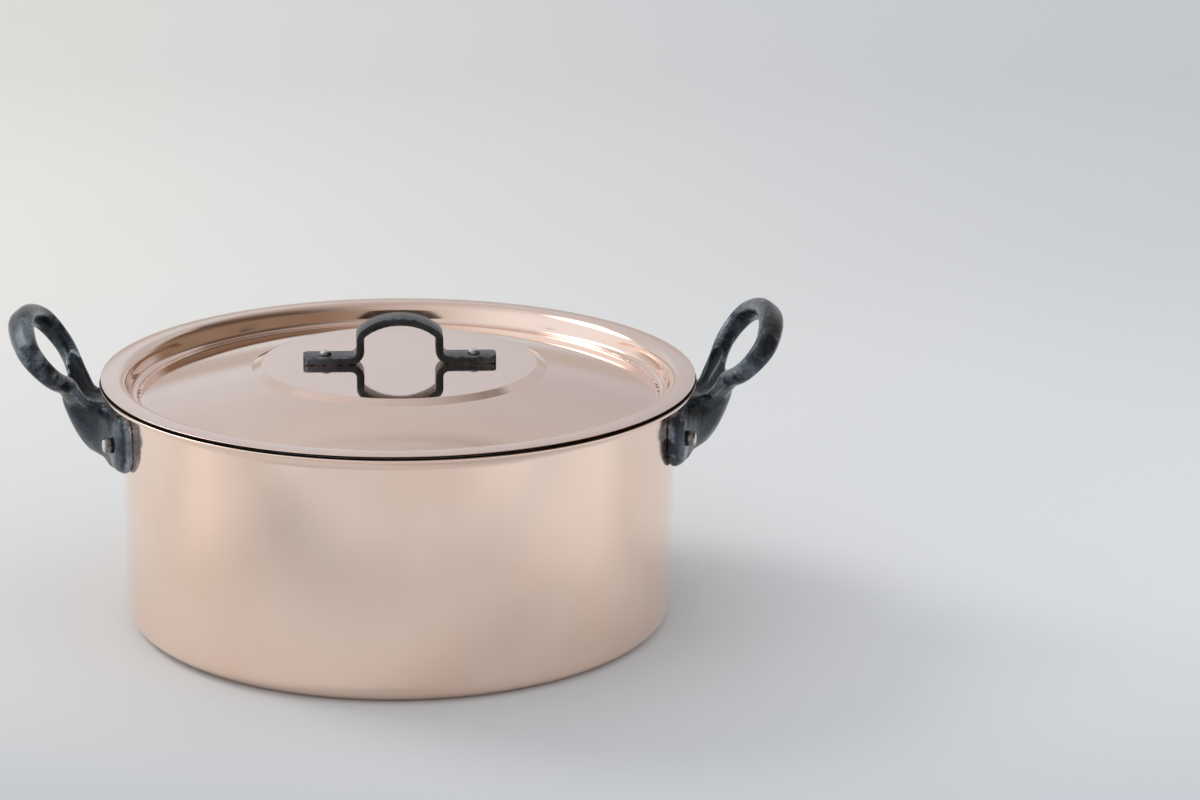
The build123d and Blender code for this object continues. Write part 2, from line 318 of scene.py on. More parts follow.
def turned_mesh(name, section, segments):
    """A section (radius, height) in mm, turned about Z into a mesh in metres."""
    corners = []
    rings = []
    for point in section:
        ring = []
        for segment in range(segments if point.x > tiny else 1):
            angle = 2 * math.pi * segment / segments
            ring.append(len(corners))
            corners.append((
                point.x * math.cos(angle) * mm, point.x * math.sin(angle) * mm, point.y * mm
            ))
        rings.append(ring)
    faces = []
    for low, high in zip(rings, rings[1:]):
        for segment in range(segments):
            after = (segment + 1) % segments
            around = (
                low[segment % len(low)], low[after % len(low)],
                high[after % len(high)], high[segment % len(high)],
            )
            faces.append(tuple(dict.fromkeys(around)))
    mesh = bpy.data.meshes.new(name)
    mesh.from_pydata(corners, [], faces)
    shade_smooth(mesh)
    return mesh


def dome_section():
    """A quarter circle from the floor to the top of the dome, in mm."""
    rises = [math.pi / 2 * step / dome_rises for step in range(dome_rises + 1)]
    return [dome_reach / mm * Vector((math.cos(rise), math.sin(rise))) for rise in rises]


def studio_dome_material():
    """Painted reflections given off by the dome, brighter to the left and around the lamp, and none at
    all low down at the back.
    """
    material = bpy.data.materials.new("studio_dome")
    material.use_nodes = True
    tree = material.node_tree
    tree.nodes.clear()
    place = object_place(tree)
    axes = add_node(tree, "ShaderNodeSeparateXYZ", Vector=place).outputs
    height = spread(tree, axes["Z"], 0.5, 2.2)
    centre = mix_colours(tree, height, (0.50, 0.44, 0.37, 1.0), (0.58, 0.57, 0.57, 1.0))
    right = mix_colours(tree, height, (0.27, 0.21, 0.155, 1.0), (0.09, 0.07, 0.06, 1.0))
    left_half = spread(tree, axes["X"], -2.7, 0.2)
    glow = mix_colours(tree, left_half, (0.93, 0.97, 1.0, 1.0), centre)
    glow = mix_colours(tree, spread(tree, axes["X"], -0.1, 2.0), glow, right)
    level = add_node(
        tree, "ShaderNodeVectorMath", {"operation": "MULTIPLY"}, in_0=place, in_1=(0.25, 0.25, 3.0)
    ).outputs["Vector"]
    # Painted dark streaks, brown, in the reflections to the right.
    painted_dark_streaks = maths(
        tree, "MULTIPLY", spread(tree, noise(tree, level, 1.5, 2.0), 0.48, 0.62, 0.0, 0.4),
        spread(tree, axes["X"], -0.8, 0.4),
    )
    glow = mix_colours(tree, painted_dark_streaks, glow, (0.24, 0.16, 0.10, 1.0))
    # Painted highlight: the dome glows brighter towards the lamp.
    heading = add_node(
        tree, "ShaderNodeVectorMath", {"operation": "NORMALIZE"}, in_0=place
    ).outputs["Vector"]
    near_lamp = add_node(
        tree, "ShaderNodeVectorMath", {"operation": "DOT_PRODUCT"},
        in_0=heading, in_1=lamp.location.normalized(),
    ).outputs["Value"]
    strength = spread(
        tree, near_lamp, math.cos(painted_lamp_highlight_edge), math.cos(painted_lamp_highlight_core), 1.0, 1.0 + painted_lamp_highlight
    )
    light = add_node(tree, "ShaderNodeEmission", Color=glow, Strength=strength)
    clear = add_node(tree, "ShaderNodeBsdfTransparent")
    behind = maths(tree, "SUBTRACT", axes["Y"], maths(tree, "ABSOLUTE", axes["X"]))
    opening = maths(
        tree, "MULTIPLY", spread(tree, behind, dome_open_from, dome_open_to),
        spread(tree, axes["Z"], dome_shut_from, dome_shut_to, 1.0, 0.0),
    )
    blend = add_node(
        tree, "ShaderNodeMixShader", in_0=opening,
        in_1=light.outputs["Emission"], in_2=clear.outputs["BSDF"],
    )
    add_node(tree, "ShaderNodeOutputMaterial", Surface=blend.outputs["Shader"])
    return material


studio_dome = new_object("studio_dome", turned_mesh("studio_dome", dome_section(), dome_turns))
studio_dome.data.materials.append(studio_dome_material())
for ray in ("camera", "diffuse", "transmission", "volume_scatter", "shadow"):
    setattr(studio_dome, "visible_" + ray, False)


# Pot shell
# One sheet of copper, spun to a straight wall on a flat base, with its rim flared out and rolled
# slightly down. It is 1.7 mm thick and polished on the lathe, which leaves fine rings. The top of
# its lip, under the lid's edge, is painted brown-black and matt, a painted shade for the gap there.

pot_outer_radius = 142.0
pot_base_corner = 10.0
pot_lip_crest = 125.2
pot_flare_radius = 7.0
pot_droop_radius = 19.0
pot_droop_angle = math.radians(10.7)
pot_copper_thickness = 1.7
pot_gap_shade_from = 149.0
pot_gap_shade_to = 152.35
sheet_edge_softening = 0.35
sheet_edge_cut = 0.29
turned_segments = 320
bend_step = math.radians(3.0)
support_gap = 0.35


def bent_line(corners):
    """Points and normals along straight runs (radius, height, bend), each corner rounded by its bend."""
    points = []

    def straight(start, end, normal):
        length = (end - start).length
        gap = min(support_gap, length / 4)
        along = (end - start) / length
        for distance in (0, gap, length - gap, length):
            points.append((start + along * distance, normal))

    places = [Vector(corner[:2]) for corner in corners]
    start = places[0]
    for index in range(1, len(places)):
        here = places[index]
        arriving = (here - places[index - 1]).normalized()
        normal = Vector((arriving.y, -arriving.x))
        if index == len(places) - 1:
            straight(start, here, normal)
            break
        leaving = (places[index + 1] - here).normalized()
        turn = -arriving.angle_signed(leaving)
        bend = corners[index][2]
        trim = bend * math.tan(abs(turn) / 2)
        arc_start = here - arriving * trim
        straight(start, arc_start, normal)
        side = 1 if turn > 0 else -1
        centre = arc_start - normal * bend * side
        steps = max(2, math.ceil(abs(turn) / bend_step))
        for step in range(1, steps):
            out = Matrix.Rotation(turn * step / steps, 2) @ normal
            points.append((centre + out * bend * side, out))
        start = here + leaving * trim
    return points


def arc(centre, radius, start_angle, sweep_angle, step_angle=bend_step):
    """Points and outward normals along an arc, without its first point."""
    steps = max(2, math.ceil(abs(sweep_angle) / step_angle))
    found = []
    for step in range(1, steps + 1):
        angle = start_angle + sweep_angle * step / steps
        out = Vector((math.cos(angle), math.sin(angle)))
        found.append((Vector(centre) + out * radius, out))
    return found


def flipped(line):
    """A line with its normals on its other side."""
    return [(point, -normal) for point, normal in line]


def sheet_section(line, start, thickness):
    """The closed section of a sheet that lies from start to start + thickness inside a line."""
    near = [point - normal * start for point, normal in line]
    far = [point - normal * (start + thickness) for point, normal in line]
    soft = min(sheet_edge_softening, thickness / 3)
    back = (near[-2] - near[-1]).normalized() * soft
    inward = (far[-1] - near[-1]).normalized() * soft
    edge = [near[-1] + back, near[-1] + (back + inward) * sheet_edge_cut, near[-1] + inward]
    far_edge = [far[-1] - inward, far[-1] + (back - inward) * sheet_edge_cut, far[-1] + back]
    return near[:-1] + edge + far_edge + far[-2::-1]


def pot_line(droop_angle):
    """The outside of the pot from the middle of its base over its lip, down to a droop angle."""
    flare_start = pot_lip_crest - pot_flare_radius
    flare_middle = pot_outer_radius + pot_flare_radius
    wall = bent_line([
        (0, 0),
        (pot_outer_radius, 0, pot_base_corner),
        (pot_outer_radius, flare_start),
    ])
    flare = arc((flare_middle, flare_start), pot_flare_radius, math.pi, -math.pi / 2)
    droop = arc(
        (flare_middle, pot_lip_crest - pot_droop_radius), pot_droop_radius, math.pi / 2,
        -droop_angle,
    )
    return wall + flipped(flare + droop)


def turned_place(tree):
    """(radius, 0, height), which is the same all round a turned piece."""
    axes = add_node(tree, "ShaderNodeSeparateXYZ", Vector=object_place(tree)).outputs
    flat = add_node(tree, "ShaderNodeCombineXYZ", X=axes["X"], Y=axes["Y"]).outputs["Vector"]
    radius = add_node(
        tree, "ShaderNodeVectorMath", {"operation": "LENGTH"}, in_0=flat
    ).outputs["Value"]
    return add_node(tree, "ShaderNodeCombineXYZ", X=radius, Z=axes["Z"]).outputs["Vector"]


def copper_material(name, clean, stained, gloss, rough_patch, ring_depth, wave_depth):
    """Copper polished on a lathe: fine rings, a slight waviness and a faint cloudy stain."""
    material, tree, shader = new_material(
        name, Metallic=1.0, Coat_Weight=0.5, Coat_Roughness=gloss, Coat_IOR=1.5
    )
    place = object_place(tree)
    stain = spread(tree, noise(tree, place, 14.0, 5.0, 0.55), 0.38, 0.68)
    wiped = noise(tree, place, 38.0, 6.0, 0.6)
    rings = bump(tree, noise(tree, turned_place(tree), 1400.0, 4.0, 0.6), ring_depth)
    connect(
        tree, shader,
        Base_Color=mix_colours(tree, stain, clean, stained),
        Roughness=spread(tree, wiped, 0.3, 0.75, gloss, rough_patch),
        Normal=bump(tree, noise(tree, place, 22.0, 1.0), wave_depth, rings),
    )
    return material


# Painted shade: copper faces in the gap between the lid's edge and the pot's lip are made brown-black.
def gap_shade_copper_material():
    """Painted shade for the gap between the lid's edge and the pot's lip: copper made brown-black and
    matt.
    """
    material, tree, shader = new_material("gap_shade_copper", Metallic=0.6, Specular_IOR_Level=0.15)
    stains = noise(tree, object_place(tree), 90.0, 5.0, 0.6)
    connect(
        tree, shader,
        Base_Color=mix_colours(
            tree, spread(tree, stains, 0.35, 0.65),
            (0.016, 0.008, 0.005, 1.0), (0.045, 0.024, 0.016, 1.0),
        ),
        Roughness=spread(tree, stains, 0.3, 0.7, 0.5, 0.7),
    )
    return material


def give_gap_shade_copper(piece, inner_radius, outer_radius, low=-math.inf, high=math.inf):
    """Painted gap shade on the faces of a turned piece between two radii and two heights, in mm."""
    piece.data.materials.append(gap_shade_copper)
    for face in piece.data.polygons:
        radius = math.hypot(face.center.x, face.center.y) / mm
        height = face.center.z / mm
        if inner_radius < radius < outer_radius and low < height < high:
            face.material_index = 1


pot_copper = copper_material(
    "polished_copper",
    clean=(0.97, 0.745, 0.62, 1.0), stained=(0.94, 0.695, 0.565, 1.0),
    gloss=0.10, rough_patch=0.17, ring_depth=0.0012, wave_depth=0.10,
)
gap_shade_copper = gap_shade_copper_material()
pot_shell = new_object("pot_copper", turned_mesh(
    "pot_copper", sheet_section(pot_line(pot_droop_angle), 0, pot_copper_thickness),
    turned_segments,
))
pot_shell.data.materials.append(pot_copper)
# Painted shade on top of the lip, under the lid's edge.
give_gap_shade_copper(pot_shell, pot_gap_shade_from, pot_gap_shade_to, low=pot_lip_crest)
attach(pot_shell, "pot")
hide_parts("pot_shell")


# Pot lining
# A skin of stainless steel 0.3 mm thick, bonded to the copper from the base to just short of the
# lip's edge, and left with a fine brushed grain that runs round the pot.

pot_lining_thickness = 0.3
pot_lining_droop_angle = math.radians(3.5)


def brushed_steel_material():
    """Stainless steel brushed round and round."""
    material, tree, shader = new_material("brushed_steel", Metallic=1.0)
    brush = noise(tree, turned_place(tree), 1900.0, 5.0, 0.7)
    connect(
        tree, shader,
        Base_Color=mix_colours(tree, brush, (0.52, 0.53, 0.54, 1.0), (0.66, 0.66, 0.65, 1.0)),
        Roughness=spread(tree, brush, 0.3, 0.7, 0.24, 0.38),
        Normal=bump(tree, brush, 0.004),
    )
    return material


brushed_steel = brushed_steel_material()
pot_lining = new_object("pot_steel_lining", turned_mesh(
    "pot_steel_lining",
    sheet_section(pot_line(pot_lining_droop_angle), pot_copper_thickness, pot_lining_thickness),
    turned_segments,
))
pot_lining.data.materials.append(brushed_steel)
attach(pot_lining, "pot")
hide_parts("pot_lining")


# Side handles
# Two iron castings from one pattern: an oval loop that stands up from a neck, whose foot spreads
# over the wall in two lobes. The iron is tumbled smooth and blackened, and riveted to the pot.

casting_merge = 0.01 * mm
casting_skin = 0.65 * mm
casting_fillet = 2.6 * mm
casting_rounding = 2.2 * mm
casting_step_rounds = 2
casting_relax_rounds = 8
casting_settle_rounds = 3
casting_regain = 0.02 * mm

# The trough between the two bars of the loop runs from the hole down to the wall. Its floor is
# level beside the wall and then bends up along the loop: out from the pot's axis, up, and bend.
trough_floor = [(134.0, 114.3), (160.3, 114.6, 10.0), (179.2, 138.6)]
trough_half_width = 12.2
trough_widening = 0.75
trough_half_height = 9.0
trough_squareness = 0.42
trough_sides = 64

# The foot's underside is filed to a shallow keel between the lobes, so each lobe hangs like a
# thumb. What is filed off: half its outline as (across, up) where the foot is filed_out from the
# pot's axis, how far in and out it runs, and how much it climbs outwards.
filed_outline = [(0.0, 83.7), (21.0, 90.2), (25.0, 88.5), (28.0, 83.0), (29.5, 60.0)]
filed_out = 150.5
filed_reach = 18.0
filed_climb = 0.54

# Webs that carry the two bars of the loop down into the neck. Each is a tapered bar with ball
# ends: its ends as (out, across, up) and their radii.
casting_webs = [
    ((169.6, 25.0, 128.6), 3.6, (164.2, 11.0, 117.2), 4.2),
    ((165.6, 24.0, 126.6), 3.0, (157.6, 13.6, 114.6), 2.6),
    ((157.6, 13.6, 114.6), 2.6, (146.0, 13.2, 113.6), 2.6),
]
web_ball_steps = 12


def cast_iron_material():
    """Blackened cast iron: burnished to bare metal where it stands out, and brown in places."""
    material, tree, shader = new_material(
        "blackened_cast_iron", Specular_IOR_Level=0.38, Specular_Tint=(0.80, 0.92, 1.0, 1.0),
        Coat_Weight=0.15, Coat_Roughness=0.06,
    )
    place = object_place(tree)
    patches = noise(tree, place, 34.0, 6.0, 0.62, 0.8)
    mottle = noise(tree, place, 420.0, 5.0, 0.7, 1.0)
    form = add_node(tree, "ShaderNodeNewGeometry").outputs["Pointiness"]
    burnished = maths(
        tree, "MULTIPLY", spread(tree, form, 0.502, 0.525, 0.04, 1.0),
        spread(tree, patches, 0.45, 0.56, 0.0, 0.9),
    )
    burnished = maths(tree, "MULTIPLY", burnished, spread(tree, mottle, 0.38, 0.62, 0.4, 1.0))
    black = mix_colours(
        tree, spread(tree, mottle, 0.4, 0.6),
        (0.003, 0.004, 0.007, 1.0), (0.012, 0.018, 0.027, 1.0),
    )
    brown = spread(tree, noise(tree, place, 58.0, 7.0, 0.7), 0.54, 0.64, 0.0, 0.85)
    oxide = mix_colours(tree, brown, black, (0.034, 0.021, 0.014, 1.0))
    hammered = bump(tree, noise(tree, place, 95.0, 2.0), 0.9)
    connect(
        tree, shader,
        Base_Color=mix_colours(tree, burnished, oxide, (0.48, 0.56, 0.65, 1.0)),
        Metallic=burnished,
        Roughness=spread(tree, patches, 0.3, 0.7, 0.30, 0.16),
        Normal=bump(tree, mottle, 0.14, hammered),
    )
    return material


def swept_solids(name, sweeps):
    """A mesh of closed solids, each over a row of rings of places, with its faces pointing outwards."""
    work = bmesh.new()
    for places in sweeps:
        rings = [[work.verts.new(place) for place in ring] for ring in places]
        work.faces.new(rings[0])
        work.faces.new(reversed(rings[-1]))
        for low, high in zip(rings, rings[1:]):
            for index in range(len(low)):
                after = (index + 1) % len(low)
                work.faces.new((low[index], low[after], high[after], high[index]))
    bmesh.ops.recalc_face_normals(work, faces=work.faces)
    mesh = bpy.data.meshes.new(name)
    work.to_mesh(mesh)
    work.free()
    return mesh


def casting_cutter(name, side):
    """What is cut off a casting: a squared finger along its trough and a bar under its foot."""

    def place(out, across, up):
        return Vector((side * out, across, up)) * mm

    def squared(value):
        return math.copysign(abs(value) ** trough_squareness, value)

    bend_height = trough_floor[1][1]
    trough = []
    for point, down in bent_line(trough_floor):
        middle = point - down * trough_half_height
        half_width = trough_half_width + trough_widening * max(0.0, point.y - bend_height)
        ring = []
        for step in range(trough_sides):
            angle = 2 * math.pi * step / trough_sides
            at = middle + down * squared(math.sin(angle)) * trough_half_height
            ring.append(place(at.x, squared(math.cos(angle)) * half_width, at.y))
        trough.append(ring)
    outline = filed_outline[::-1] + [(-across, up) for across, up in filed_outline[1:]]
    under_foot = [
        [place(filed_out + out, across, up + filed_climb * out) for across, up in outline]
        for out in (-filed_reach, filed_reach)
    ]
    return new_object(name, swept_solids(name, [trough, under_foot]))


def add_web(work, first, first_radius, last, last_radius):
    """The smallest round-ended bar over two balls, added to a mesh."""
    corners = []
    for centre, radius in ((first, first_radius), (last, last_radius)):
        for rise in range(web_ball_steps + 1):
            elevation = math.pi * (rise / web_ball_steps - 0.5)
            for turn in range(2 * web_ball_steps):
                bearing = math.pi * turn / web_ball_steps
                corners.append(work.verts.new(centre + radius * Vector((
                    math.cos(elevation) * math.cos(bearing),
                    math.cos(elevation) * math.sin(bearing),
                    math.sin(elevation),
                ))))
    hull = bmesh.ops.convex_hull(work, input=corners)
    inside = set(hull["geom_interior"]) | set(hull["geom_unused"])
    bmesh.ops.delete(
        work, geom=[item for item in inside if isinstance(item, bmesh.types.BMVert)],
        context="VERTS",
    )


def casting_mesh(name, node, side):
    """A CAD node's shape with webs added and its trough cut, in small even faces and relaxed."""
    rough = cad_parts[node].data.copy()
    work = bmesh.new()
    work.from_mesh(rough)
    bmesh.ops.remove_doubles(work, verts=work.verts, dist=casting_merge)
    for across in (1, -1):
        for first, first_radius, last, last_radius in casting_webs:
            ends = [
                Vector((side * out, across * aside, up)) * mm for out, aside, up in (first, last)
            ]
            add_web(work, ends[0], first_radius * mm, ends[1], last_radius * mm)
    work.to_mesh(rough)
    work.free()
    blank = new_object(name + "_blank", rough)
    cutter = casting_cutter(name + "_cutter", side)

    def cover_and_relax(rounds):
        skin = blank.modifiers.new("skin", "REMESH")
        skin.mode = "VOXEL"
        skin.voxel_size = casting_skin
        skin.use_smooth_shade = True
        relax = blank.modifiers.new("relax", "SMOOTH")
        relax.factor = 0.5
        relax.iterations = rounds

    def grow(distance):
        step = blank.modifiers.new("grow", "DISPLACE")
        step.mid_level = 0
        step.strength = distance

    cover_and_relax(casting_step_rounds)
    grow(casting_fillet)
    cover_and_relax(casting_step_rounds)
    grow(-casting_fillet - casting_rounding)
    cover_and_relax(casting_step_rounds)
    grow(casting_rounding)
    cover_and_relax(casting_relax_rounds)
    cut = blank.modifiers.new("cut", "BOOLEAN")
    cut.operation = "DIFFERENCE"
    cut.solver = "EXACT"
    cut.object = cutter
    cover_and_relax(casting_settle_rounds)
    settled = blank.evaluated_get(bpy.context.evaluated_depsgraph_get())
    mesh = bpy.data.meshes.new_from_object(settled)
    mesh.name = name
    mesh.materials.clear()
    bpy.data.objects.remove(blank)
    bpy.data.objects.remove(cutter)
    grown = [vertex.co + vertex.normal * casting_regain for vertex in mesh.vertices]
    for vertex, place in zip(mesh.vertices, grown):
        vertex.co = place
    shade_smooth(mesh)
    return mesh


cast_iron = cast_iron_material()
for side, heading in (("right", 1), ("left", -1)):
    casting = new_object(
        side + "_casting", casting_mesh(side + "_casting", side + "_handle", heading)
    )
    casting.data.materials.append(cast_iron)
    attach(casting, "pot")
    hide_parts(side + "_handle")


# Side-handle rivets
# Four steel rivets, two to a handle. Each is driven through a lobe, the wall and the lining, and
# shows as a short round button outside and a flatter head inside.

side_rivet_angle = math.radians(15)
side_rivet_height = 101.6
side_rivet_seat_radius = 149.6
side_rivet_sizes = {
    "Head Radius": 3.9 * mm, "Head Rise": 5.0 * mm, "Head Squareness": 0.42,
    "Shank Radius": 3.0 * mm, "Grip": 9.6 * mm,
    "Inner Radius": 6.0 * mm, "Inner Rise": 2.5 * mm, "Inner Squareness": 0.45,
}
rivet_head_turns = 48
rivet_head_rings = 28
rivet_shank_sides = 32
rivet_middle = 1e-5


def rivet_tree():
    """Geometry Nodes that stand a rivet on each point, along the point's axis attribute."""
    tree = bpy.data.node_groups.new("rivets", "GeometryNodeTree")
    tree.interface.new_socket("Geometry", in_out="OUTPUT", socket_type="NodeSocketGeometry")
    tree.interface.new_socket("Geometry", in_out="INPUT", socket_type="NodeSocketGeometry")
    for size in side_rivet_sizes:
        tree.interface.new_socket(size, in_out="INPUT", socket_type="NodeSocketFloat")
    tree.interface.new_socket("Finish", in_out="INPUT", socket_type="NodeSocketMaterial")
    given = tree.nodes.new("NodeGroupInput").outputs

    def button(which, kept_half):
        """A half ball pressed towards a flat-topped button; its other half is a flat disc."""
        squareness = given[which + " Squareness"]
        ball = add_node(
            tree, "GeometryNodeMeshUVSphere",
            Segments=rivet_head_turns, Rings=rivet_head_rings, Radius=1.0,
        ).outputs["Mesh"]
        place = tree.nodes.new("GeometryNodeInputPosition").outputs["Position"]
        at = add_node(tree, "ShaderNodeSeparateXYZ", Vector=place).outputs
        squares = [maths(tree, "POWER", at[axis], 2.0) for axis in ("X", "Y")]
        out = maths(tree, "MAXIMUM", maths(tree, "SQRT", maths(tree, "ADD", *squares)), rivet_middle)
        widen = maths(tree, "POWER", out, maths(tree, "SUBTRACT", squareness, 1.0))
        wide = maths(tree, "MULTIPLY", widen, given[which + " Radius"])
        lift = maths(tree, "POWER", maths(tree, "ABSOLUTE", at["Z"]), squareness)
        lift = maths(tree, "MULTIPLY", maths(tree, "SIGN", at["Z"]), lift)
        lift = maths(tree, "MULTIPLY", maths(tree, kept_half, lift), given[which + " Rise"])
        crowned = add_node(
            tree, "GeometryNodeStoreNamedAttribute", {"data_type": "FLOAT", "domain": "POINT"},
            Geometry=ball, Name="crown", Value=at["Z"],
        )
        pressed = add_node(
            tree, "ShaderNodeCombineXYZ",
            X=maths(tree, "MULTIPLY", at["X"], wide), Y=maths(tree, "MULTIPLY", at["Y"], wide), Z=lift,
        )
        return add_node(
            tree, "GeometryNodeSetPosition",
            Geometry=crowned.outputs["Geometry"], Position=pressed.outputs["Vector"],
        ).outputs["Geometry"]

    def moved(geometry, height):
        """Geometry moved along Z."""
        step = add_node(tree, "ShaderNodeCombineXYZ", Z=height)
        return add_node(
            tree, "GeometryNodeTransform", Geometry=geometry, Translation=step.outputs["Vector"]
        ).outputs["Geometry"]

    shank = add_node(
        tree, "GeometryNodeMeshCylinder",
        Vertices=rivet_shank_sides, Radius=given["Shank Radius"], Depth=given["Grip"],
    ).outputs["Mesh"]
    whole = tree.nodes.new("GeometryNodeJoinGeometry")
    for part in (
        button("Head", "MAXIMUM"),
        moved(shank, maths(tree, "MULTIPLY", given["Grip"], -0.5)),
        moved(button("Inner", "MINIMUM"), maths(tree, "MULTIPLY", given["Grip"], -1.0)),
    ):
        tree.links.new(part, whole.inputs["Geometry"])
    smooth = add_node(tree, "GeometryNodeSetShadeSmooth", Geometry=whole.outputs["Geometry"])
    axis = add_node(
        tree, "GeometryNodeInputNamedAttribute", {"data_type": "FLOAT_VECTOR"}, Name="axis"
    )
    turn = add_node(
        tree, "FunctionNodeAlignRotationToVector", {"axis": "Z"}, Vector=axis.outputs["Attribute"]
    )
    stood = add_node(
        tree, "GeometryNodeInstanceOnPoints", Points=given["Geometry"],
        Instance=smooth.outputs["Geometry"], Rotation=turn.outputs["Rotation"],
    )
    real = add_node(
        tree, "GeometryNodeRealizeInstances", Geometry=stood.outputs["Instances"]
    )
    finished = add_node(
        tree, "GeometryNodeSetMaterial", Geometry=real.outputs["Geometry"], Material=given["Finish"]
    )
    output = tree.nodes.new("NodeGroupOutput")
    tree.links.new(finished.outputs["Geometry"], output.inputs["Geometry"])
    return tree


def rivets(name, places, axes, sizes):
    """One mesh of rivets, the outer head of each seated at a place and pointing along its axis."""
    marks = bpy.data.meshes.new(name + "_marks")
    marks.from_pydata(places, [], [])
    attribute = marks.attributes.new("axis", "FLOAT_VECTOR", "POINT")
    for index, axis in enumerate(axes):
        attribute.data[index].vector = axis
    holder = new_object(name + "_marks", marks)
    modifier = holder.modifiers.new("rivets", "NODES")
    modifier.node_group = rivets_tree
    values = {**sizes, "Finish": rivet_steel}
    for socket in rivets_tree.interface.items_tree:
        if socket.in_out == "INPUT" and socket.name in values:
            modifier[socket.identifier] = values[socket.name]
    shown = holder.evaluated_get(bpy.context.evaluated_depsgraph_get())
    mesh = bpy.data.meshes.new_from_object(shown)
    mesh.name = name
    bpy.data.objects.remove(holder)
    return new_object(name, mesh)


def rivet_steel_material():
    """Steel of a rivet head: its crown lighter, partly hammer wear and partly a painted highlight, and
    dull grey down its sides.
    """
    material, tree, shader = new_material("rivet_steel", Metallic=1.0)
    crown = add_node(tree, "ShaderNodeAttribute", {"attribute_name": "crown"}).outputs["Fac"]
    marks = noise(tree, object_place(tree), 260.0, 5.0, 0.6)
    dull = mix_colours(
        tree, spread(tree, marks, 0.35, 0.65),
        (0.17, 0.175, 0.165, 1.0), (0.34, 0.345, 0.32, 1.0),
    )
    # Painted highlight, with some hammer wear: lighter steel on the crown.
    bright = spread(tree, crown, 0.55, 0.9)
    connect(
        tree, shader,
        Base_Color=mix_colours(tree, bright, dull, (0.66, 0.67, 0.66, 1.0)),
        Roughness=spread(tree, marks, 0.3, 0.7, 0.22, 0.38),
        Normal=bump(tree, marks, 0.12),
    )
    return material


rivet_steel = rivet_steel_material()
rivets_tree = rivet_tree()
side_rivet_axes = [
    Vector((math.cos(middle + turn), math.sin(middle + turn), 0))
    for middle in (0, math.pi)
    for turn in (-side_rivet_angle, side_rivet_angle)
]
side_rivet_places = [
    (axis * side_rivet_seat_radius + Vector((0, 0, side_rivet_height))) * mm
    for axis in side_rivet_axes
]
side_rivets = rivets("side_handle_rivets", side_rivet_places, side_rivet_axes, side_rivet_sizes)
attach(side_rivets, "pot")
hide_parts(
    "right_front_rivet", "right_rear_rivet", "left_front_rivet", "left_rear_rivet"
)


# Lid shell
# One disc of copper 1.2 mm thick, pressed with a flat rim that rests on the pot's lip and dips
# slightly at its edge, a steep recess that drops into the pot's mouth, a low dome and a round
# platform under the handle. It is polished like a mirror, but the filed underside of its edge is
# painted brown-black, a painted shade for the gap above the pot's lip.

lid_rim_top = 129.0
lid_rim_radius = 152.1
lid_mouth_radius = 139.6
lid_shoulder_bend = 5.2
lid_droop_start = 145.8
lid_droop_radius = 45.0
lid_droop_step = math.radians(0.8)
lid_recess_depth = 11.6
lid_recess_draft = math.radians(13.5)
lid_channel_bend = 3.0
lid_dome_radius = 500.0
lid_dome_step = math.radians(0.25)
lid_dome_join = 3.0
lid_copper_thickness = 1.2
lid_edge_rounding = 0.2
lid_edge_rounding_steps = 3
lid_edge_land = 0.35
lid_edge_undercut = 0.9
lid_edge_shine = 0.25
lid_gap_shade_from = 149.6
platform_foot = 75.7
platform_edge = 70.6
platform_rise = 4.2
platform_foot_bend = 1.5
platform_edge_bend = 2.0
platform_top = lid_rim_top + platform_rise


def lid_line(rim_radius):
    """The top of the lid from its middle to a radius on its rim, its normals pointing up."""
    recess_foot = lid_mouth_radius - lid_recess_depth * math.tan(lid_recess_draft)
    recess_floor = lid_rim_top - lid_recess_depth
    dome_centre = recess_floor - math.sqrt(lid_dome_radius**2 - recess_foot**2)

    def dome(radius):
        return dome_centre + math.sqrt(lid_dome_radius**2 - radius**2)

    inner_join = platform_foot + lid_dome_join
    outer_join = recess_foot - lid_dome_join
    platform = bent_line([
        (0, platform_top),
        (platform_edge, platform_top, platform_edge_bend),
        (platform_foot, dome(platform_foot), platform_foot_bend),
        (inner_join, dome(inner_join)),
    ])
    inner_angle = math.acos(inner_join / lid_dome_radius)
    outer_angle = math.acos(outer_join / lid_dome_radius)
    crown = arc(
        (0, dome_centre), lid_dome_radius, inner_angle, outer_angle - inner_angle, lid_dome_step
    )
    recess = bent_line([
        (outer_join, dome(outer_join)),
        (recess_foot, recess_floor, lid_channel_bend),
        (lid_mouth_radius, lid_rim_top, lid_shoulder_bend),
        (lid_droop_start, lid_rim_top),
    ])
    droop = arc(
        (lid_droop_start, lid_rim_top - lid_droop_radius), lid_droop_radius, math.pi / 2,
        -math.asin((rim_radius - lid_droop_start) / lid_droop_radius), lid_droop_step,
    )
    return flipped(platform) + crown[:-1] + flipped(recess) + droop


def lid_copper_section(line):
    """The copper's closed section, its edge filed under so that only its upper third stands out."""
    top = [point for point, normal in line]
    under = [point - normal * lid_copper_thickness for point, normal in line]
    edge = top[-1]
    turns = [
        math.pi / 2 * step / lid_edge_rounding_steps for step in range(lid_edge_rounding_steps + 1)
    ]
    rounded = [
        edge + lid_edge_rounding * Vector((math.sin(turn) - 1, math.cos(turn) - 1))
        for turn in turns
    ]
    filed = [
        edge - Vector((0, lid_edge_land)),
        edge - Vector((lid_edge_undercut, lid_copper_thickness)),
    ]
    inner = [point for point in under if point.x < edge.x - lid_edge_undercut - support_gap]
    return top[:-1] + rounded + filed + inner[::-1]


